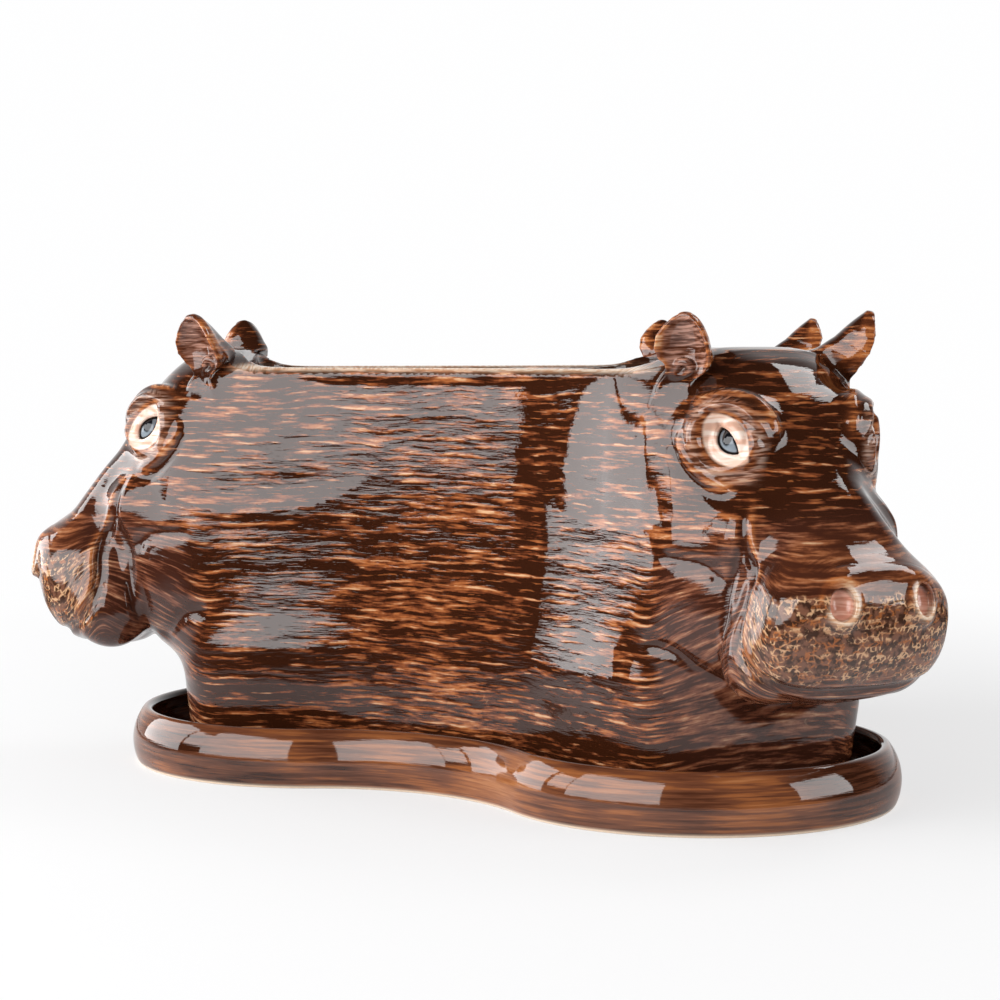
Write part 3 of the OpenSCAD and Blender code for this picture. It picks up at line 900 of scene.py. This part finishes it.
def planter_material():
    s = Shader("fired_glaze")
    brush = s.bend(s.attribute("brush"), 0.03, 3.0)
    crest = s.bend(s.attribute("crest"), 0.03, 3.0)
    dark, orange, cream = s.channels("paint_a")
    speckle, jowl, orbit = s.channels("paint_b")
    curve, lid, nostril = s.channels("paint_c")
    ear_in, foot, flat = s.channels("paint_d")
    lid_edge = s.channels("paint_e")[0]
    # Brush marks run level round the sides and across the head on top, with finer hairs.
    strokes = []
    for scale, place, detail in (((0.06, 0.06, 0.52), (0, 0, 0), 3.0),
                                 ((0.12, 0.12, 1.0), (40, 10, 7), 2.0)):
        round_sides, over_top = (s.long_noise(way, scale, place, detail, 0.55, 0.15)
                                 for way in (brush, crest))
        strokes.append(s.mix_value(flat, round_sides, over_top))
    marks, hairs = strokes
    # Rows wander up and down the walls.
    wander = s.long_noise(brush, (0.03, 0.03, 0.07), (7, 7, 7), 2.0, 0.6)
    rows = s.math("SINE", s.total((s.parts(brush)[2], ROWS_TURN), (wander, 9.0)))
    lines = s.long_noise(brush, (0.012, 0.012, 0.22), (2, 4, 30), 2.0, 0.6, 0.3)
    patches = s.long_noise(brush, (0.022, 0.022, 0.03), (3, 8, 1), 2.0, 0.6, 0.4)
    grain = s.long_noise(brush, (0.9, 0.9, 0.9))
    tone = s.total((marks, 0.60), (hairs, 0.40), (rows, 0.022), (s.less(grain, 0.5), 0.06))
    # The dark channel takes the tone down: dark paint on the snout, crown and rim line, with
    # painted shade in the creases.
    shift = s.total((s.less(patches, 0.5), 0.22), (s.less(curve, 0.5), 0.12), (dark, -0.07))
    shift = s.less(shift, s.step(lines, 0.56, 0.64, (0.0, 0.07)))
    tone = s.add(tone, shift)
    colour = ramp(s, tone, [(0.445, NIGHT), (0.485, BARK), (0.53, RUST), (0.58, AMBER),
                            (0.72, PEACH)])
    # Pale hairs run along the crests of the rows, where the marks are light.
    pale = s.times(s.step(rows, 0.55, 0.9), s.step(s.add(hairs, shift), 0.505, 0.55))
    pale_tint = s.mix(s.step(marks, 0.46, 0.60), AMBER, PEACH)
    colour = s.mix(s.times(pale, 0.6), colour, pale_tint)
    # The jowls and neck are a redder, softer brown.
    red = ramp(s, tone, [(0.42, (0.045, 0.014, 0.008)), (0.50, (0.11, 0.038, 0.022)),
                         (0.58, (0.19, 0.080, 0.050)), (0.74, PEACH)])
    colour = s.mix(s.times(jowl, 0.75), colour, red)
    # The muzzle is spotted, with a broken pale net between dark spots and an uneven edge.
    uneven = s.times(s.less(s.noise(brush, 0.12, 2.0), 0.5), 1.6)
    speckle = s.step(s.add(speckle, uneven), 0.35, 0.65)
    edge = s.cell_edges(s.bend(brush, 0.35, 1.2), 0.50)
    veins = s.times(s.step(edge, 0.20, 0.04), s.step(s.noise(brush, 0.42, 3.0), 0.44, 0.56))
    ground = ramp(s, s.noise(brush, 0.35, 4.0), [(0.42, (0.040, 0.018, 0.011)),
                                                 (0.60, (0.16, 0.070, 0.043))])
    net_tint = s.mix(s.step(marks, 0.42, 0.58), AMBER, PEACH)
    spotted = s.mix(s.times(veins, 0.9), ground, net_tint)
    colour = s.mix(s.times(speckle, 0.95), colour, spotted)
    colour = s.mix(s.times(orbit, 0.7), colour,
                   ramp(s, hairs, [(0.42, (0.09, 0.032, 0.016)), (0.50, (0.27, 0.13, 0.085)),
                                   (0.60, (0.45, 0.30, 0.23))]))
    warm = ramp(s, tone, [(0.36, BARK), (0.46, RUST), (0.54, (0.42, 0.14, 0.042)), (0.66, PEACH)])
    colour = s.mix(s.times(orange, 0.9), colour, warm)
    colour = s.mix(s.times(ear_in, 0.75), colour,
                   ramp(s, hairs, [(0.38, BARK), (0.48, (0.20, 0.085, 0.055)), (0.62, ROSE)]))
    pale_cream = s.mix(s.step(hairs, 0.40, 0.58), (0.60, 0.33, 0.19), CREAM)
    colour = s.mix(cream, colour, pale_cream)
    colour = s.mix(s.times(lid_edge, 0.85), colour,
                   ramp(s, hairs, [(0.40, BARK), (0.52, (0.26, 0.075, 0.024)),
                                   (0.60, (0.42, 0.15, 0.05))]))
    pink_lid = s.mix(s.step(marks, 0.42, 0.60), (0.62, 0.37, 0.27), (0.76, 0.62, 0.53))
    colour = s.mix(lid, colour, pink_lid)
    pink_pit = s.mix(s.step(hairs, 0.4, 0.6), (0.58, 0.25, 0.17), (0.74, 0.41, 0.31))
    colour = s.mix(nostril, colour, pink_pit)
    colour = s.mix(foot, colour, BARE_CLAY)
    ripples = s.long_noise(brush, (0.03, 0.03, 0.14), (8, 8, 8), 2.0, 0.6, 0.3)
    swells = s.long_noise(brush, (0.02, 0.02, 0.035), (0, 0, 0), 1.0)
    s.bump(s.total((tone, 0.13), (ripples, 0.28), (swells, 0.5)), 0.0008)
    return s.glaze(colour, 0.2)


def saucer_material():
    s = Shader("saucer_glaze")
    brush = s.attribute("brush")
    inside, foot, lip = s.channels("paint_a")
    streaks = s.long_noise(brush, (0.03, 0.03, 0.75), (0, 0, 0), 3.0, 0.65, 0.2)
    patches = s.long_noise(brush, (0.014, 0.014, 0.02), (9, 2, 4), 2.0, 0.6, 0.4)
    tone = s.total((streaks, 0.45), (patches, 0.55), (inside, -0.10))
    colour = ramp(s, tone, [(0.39, NIGHT), (0.45, (0.075, 0.025, 0.012)),
                            (0.51, (0.13, 0.045, 0.021)), (0.57, (0.25, 0.084, 0.028)),
                            (0.66, (0.36, 0.145, 0.055))])
    colour = s.mix(s.times(lip, 0.35), colour, BARK)
    colour = s.mix(foot, colour, CREAM)
    s.bump(streaks, 0.00004)
    return s.glaze(colour, 0.2)


def eye_material():
    s = Shader("eye_glaze")
    on, up, opening = s.parts(s.attribute("brush"))
    squares = [s.times(s.math("POWER", s.less(a, middle), 2.0), share)
               for a, middle, share in ((on, 0.6, 1.0), (up, 1.6, 0.40))]
    off = s.math("SQRT", s.add(*squares))
    iris = s.mix(s.step(up, -3.0, 2.5), (0.23, 0.27, 0.31), SLATE)
    colour = s.mix(s.step(off, 2.2, 1.6), iris, (0.006, 0.006, 0.008))
    colour = s.mix(s.step(opening, -2.3, -1.8), colour, (0.005, 0.005, 0.006))
    return s.glaze(colour, 0.08)


def all_sides():
    """Each head's name and direction with each of its sides."""
    for name, direction in LOBES.items():
        for side, flip in (("left", 1.0), ("right", -1.0)):
            yield name, direction, side, flip


def facing_out(faces, flip):
    """The faces, turned round where the side is a mirror image."""
    return faces if flip > 0 else [f[::-1] for f in faces]


def make_planter():
    verts, faces, normals = half_lobe()
    colours, across = paint(verts, normals)
    material = planter_material()
    for name, direction, side, flip in all_sides():
        mirror = np.array([1.0, flip, 1.0])
        place = turned(lean_ear(verts, EAR_SHIFTS[name, side]) * mirror, direction)
        crest = (verts[:, 1] * flip, verts[:, 2], verts[:, 0] + direction)
        brushes = {"brush": np.column_stack([place[:, :2], across]),
                   "crest": np.column_stack(crest)}
        piece = make_piece(f"{name}_lobe_{side}_side", "planter", material, place,
                           facing_out(faces, flip), turned(normals * mirror, direction), colours,
                           brushes)
        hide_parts("trough", name + "_head", f"{name}_head_{side}_ear")


def ring_faces(rings, n):
    """Faces from a first point through rings of n points each."""
    faces = [(0, 1 + (k + 1) % n, 1 + k) for k in range(n)]
    for i in range(rings - 1):
        for k in range(n):
            a, b = 1 + i * n + k, 1 + i * n + (k + 1) % n
            faces.append((a, b, b + n, a + n))
    return faces


def make_eyes():
    """Eyeballs with a swollen cornea, each turned on a lathe about the way that it looks."""
    material = eye_material()
    steps, around = 20, 48
    swell = 0.03
    turn = 2 * np.pi * np.arange(around) / around
    rings = []
    for i in range(1, steps + 1):
        a = math.radians(100) * i / steps
        r = EYE_R * (1 + swell * math.exp(-(a / 0.5) ** 2))
        out = r * math.sin(a)
        rings.append(np.stack([out * np.cos(turn), out * np.sin(turn),
                               np.full(around, r * math.cos(a))], -1))
    own = np.vstack([[[0, 0, EYE_R * (1 + swell)]]] + rings)
    faces = [f[:1] + f[:0:-1] for f in ring_faces(steps, around)]
    look = np.column_stack([own[:, :2], eye_opening(own[:, 0], own[:, 1])])
    for name, direction, side, flip in all_sides():
        place = EYE + own @ np.array(EYE_WAYS)
        place[:, 1] *= flip
        node = f"{name}_head_{side}_eye"
        piece = make_piece(node + "_ball", "planter", material, turned(place, direction),
                           facing_out(faces, flip), brushes={"brush": look})
        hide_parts(node)


# Sizes of the saucer, in millimetres.
SAUCER_CORNER = np.array([97.2, 0.0])
SAUCER_R = 75.2
SAUCER_WAIST = 99.0
SAUCER_TOP = frame_mm("saucer")[1][2]
SAUCER_BULGE_R, SAUCER_BULGE_Z = 20.0, 9.0
SAUCER_WALL, SAUCER_FLOOR, LIP_R = 4.5, 5.0, 2.25
SAUCER_INNER_R = SAUCER_BULGE_R - SAUCER_WALL
LOBE_STEPS, SIDE_STEPS = 96, 40


def saucer_loop(inset):
    """The saucer's outline drawn in by inset, as points all round."""
    hollow_r, middle = hollow_arc(SAUCER_CORNER, SAUCER_R, SAUCER_WAIST)
    way = middle - SAUCER_CORNER
    sweep = math.atan2(way[1], way[0])
    out = []
    for direction in LOBES.values():
        a = np.linspace(-sweep, sweep, LOBE_STEPS)
        arc = SAUCER_CORNER + (SAUCER_R - inset) * np.stack([np.cos(a), np.sin(a)], -1)
        end, spread = math.pi / 3 + math.pi, sweep - math.pi / 3
        a = np.linspace(end + spread, end - spread, SIDE_STEPS + 2)[1:-1]
        side = middle + (hollow_r + inset) * np.stack([np.cos(a), np.sin(a)], -1)
        pts = np.column_stack([np.vstack([arc, side]), np.zeros(LOBE_STEPS + SIDE_STEPS)])
        out.append(turned(pts, direction))
    return np.vstack(out)[:, :2]


def saucer_inset(r, z):
    """How far inside the widest outline the bulged wall lies at height z, on radius r."""
    return SAUCER_BULGE_R - math.sqrt(r * r - (z - SAUCER_BULGE_Z) ** 2)


def saucer_profile():
    """The saucer's section, as insets and heights, from under its middle to its floor, with
    the middle of its lip."""
    lip_z, lip_r = SAUCER_TOP - LIP_R, SAUCER_BULGE_R - SAUCER_WALL / 2
    lean = math.asin((lip_z - SAUCER_BULGE_Z) / lip_r)
    wall_z, inner_z = (SAUCER_BULGE_Z + r * math.sin(lean)
                       for r in (SAUCER_BULGE_R, SAUCER_INNER_R))
    profile = [(60.0, 0.0), (30.0, 0.0), (saucer_inset(SAUCER_BULGE_R, 0) + 2.0, 0.0)]
    profile += [(saucer_inset(SAUCER_BULGE_R, z) + 0.5 * math.exp(-z / 0.4), z)
                for z in (0.25, 0.7, 1.3, 2.0, 3.0)]
    profile += [(saucer_inset(SAUCER_BULGE_R, z), z) for z in np.linspace(4.0, wall_z, 14)[:-1]]
    middle = saucer_inset(lip_r, lip_z)
    for a in np.linspace(math.pi - lean, -lean, 15):
        profile.append((middle + LIP_R * math.cos(a), lip_z + LIP_R * math.sin(a)))
    profile += [(saucer_inset(SAUCER_INNER_R, z), z)
                for z in np.linspace(inner_z, SAUCER_FLOOR + 2.5, 8)[1:]]
    last = profile[-1][0]
    profile += [(last + 0.8, SAUCER_FLOOR + 1.0), (last + 2.4, SAUCER_FLOOR + 0.2),
                (last + 4.5, SAUCER_FLOOR), (40.0, SAUCER_FLOOR), (60.0, SAUCER_FLOOR)]
    return profile, middle, lip_z


def make_saucer():
    profile, middle, lip_z = saucer_profile()
    loops = [saucer_loop(i) for i, _ in profile]
    n = len(loops[0])
    rings = [np.column_stack([loop, np.full(n, z)]) for loop, (_, z) in zip(loops, profile)]
    verts = np.vstack([[[0, 0, 0.0]]] + rings + [[[0, 0, SAUCER_FLOOR]]])
    faces = ring_faces(len(rings), n)
    last = 1 + (len(rings) - 1) * n
    faces += [(last + k, last + (k + 1) % n, len(verts) - 1) for k in range(n)]
    z = verts[:, 2]
    deep = 99.0
    inset_of = np.concatenate([[deep], np.repeat([i for i, _ in profile], n), [deep]])
    inner = ease(middle - 1.0, middle + 2.0, inset_of) * ease(1.0, 3.0, z)
    foot = ease(1.5, 0.9, z)
    lip = ease(lip_z - 1.0, lip_z + 1.5, z) * (1 - inner)
    colours = {"paint_a": np.stack([inner, foot, lip], -1)}
    piece = make_piece("drip_saucer", "saucer", saucer_material(), verts, faces, None, colours,
                       {"brush": verts})
    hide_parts("saucer")


PAPER_WHITE = (0.995, 0.995, 0.998, 1.0)


def make_floor():
    """A white floor that keeps the piece's shadow."""
    size = 4.0
    floor = bpy.data.meshes.new("floor")
    corners = [(-size, -size, 0), (size, -size, 0), (size, size, 0), (-size, size, 0)]
    floor.from_pydata(corners, [], [(0, 1, 2, 3)])
    s = Shader("pale_floor")
    s.fill(s.out, Base_Color=(0.85, 0.85, 0.855, 1.0), Roughness=0.7, Specular_IOR_Level=0.1)
    path = s.node("LightPath").outputs
    place = s.node("NewGeometry").outputs["Position"]
    far = s.node("VectorMath", place, operation="LENGTH").outputs["Value"]
    seen = s.times(path["Is Camera Ray"], s.step(far, 0.22, 0.70, (0.60, 1.0)))
    glow = s.node("Emission", PAPER_WHITE).outputs[0]
    lit = s.node("MixShader", seen, s.out.outputs[0], glow).outputs[0]
    # The glaze mirrors a dark studio beyond the table's edge, on the lamps' side.
    unlit = s.times(s.step(far, 0.24, 0.42), s.step(s.parts(place)[1], 0.45, 0.20))
    mirrored = s.times(path["Is Glossy Ray"], unlit)
    night = s.node("Emission", (0.02, 0.02, 0.02, 1)).outputs[0]
    both = s.node("MixShader", mirrored, lit, night).outputs[0]
    s.put(s.tree.nodes["Material Output"].inputs[0], both)
    floor.materials.append(s.material)
    piece = add_object("floor", floor)


def make_world():
    """Plain light from all round. The camera sees white, and mirrored rays see it only behind
    the piece and a dark studio elsewhere."""
    world = bpy.data.worlds.new("studio")
    bpy.context.scene.world = world
    w = Nodes(world)
    w.tree.nodes.clear()
    path = w.node("LightPath").outputs
    way = w.parts(w.node("TexCoord").outputs["Generated"])
    behind = w.step(way[1], 0.45, 0.95, kind="LINEAR")
    mirrored = w.math("MAXIMUM", path["Is Glossy Ray"], path["Is Transmission Ray"])
    shown = w.math("MAXIMUM", path["Is Camera Ray"], w.times(mirrored, behind))
    level = w.less(0.38, w.times(path["Is Glossy Ray"], 0.36))
    plain = w.node("Background", (1.0, 1.0, 1.0, 1.0), level).outputs[0]
    white = w.node("Background", PAPER_WHITE, 1.0).outputs[0]
    w.node("OutputWorld", w.node("MixShader", shown, plain, white).outputs[0])


LAMP_RADIANCE = 4.4


def add_lamp(name, width, height, location):
    """A lamp with a plain bright face."""
    lamp = bpy.data.lights.new(name, "AREA")
    lamp.shape = "RECTANGLE"
    lamp.size, lamp.size_y = width, height
    lamp.energy = LAMP_RADIANCE * math.pi * lamp.size * lamp.size_y
    piece = add_object(name, lamp)
    piece.location = location
    return piece


def soft_box(name, azimuth, turn, low, high, reach=1.2):
    """An upright lamp that fills a turn of azimuth round the piece, between two heights."""
    a = math.radians(azimuth)
    width = 2 * reach * math.tan(math.radians(turn / 2))
    place = (reach * math.cos(a), reach * math.sin(a), (low + high) / 2)
    add_lamp(name, width, high - low, place).rotation_euler = (math.pi / 2, 0, a + math.pi / 2)


def make_light():
    soft_box("left_box", 225.5, 54.0, 0.075, 1.15)
    soft_box("side_box", 166.0, 36.0, 0.015, 0.60, 0.85)
    soft_box("door_box", 191.5, 14.0, 0.24, 0.75)
    soft_box("right_box", 340.0, 34.0, 0.10, 0.75)
    top = add_lamp("top_box", 0.54, 0.32, (0.74, 0.33, 1.08))
    top.rotation_euler = (Vector((0, 0, 0.1)) - top.location).to_track_quat("-Z", "Y").to_euler()


def make_camera():
    camera = bpy.data.cameras.new("camera")
    camera.sensor_width = SENSOR
    camera.lens = LENS
    camera.clip_start = 0.01
    piece = add_object("camera", camera)
    piece.location = CAMERA_PLACE
    piece.rotation_euler = (math.pi / 2 - CAMERA_PITCH, 0, CAMERA_TURN)
    bpy.context.scene.camera = piece


make_camera()
make_planter()
make_eyes()
make_saucer()
make_floor()
make_world()
make_light()
bpy.context.scene.view_settings.view_transform = "Standard"
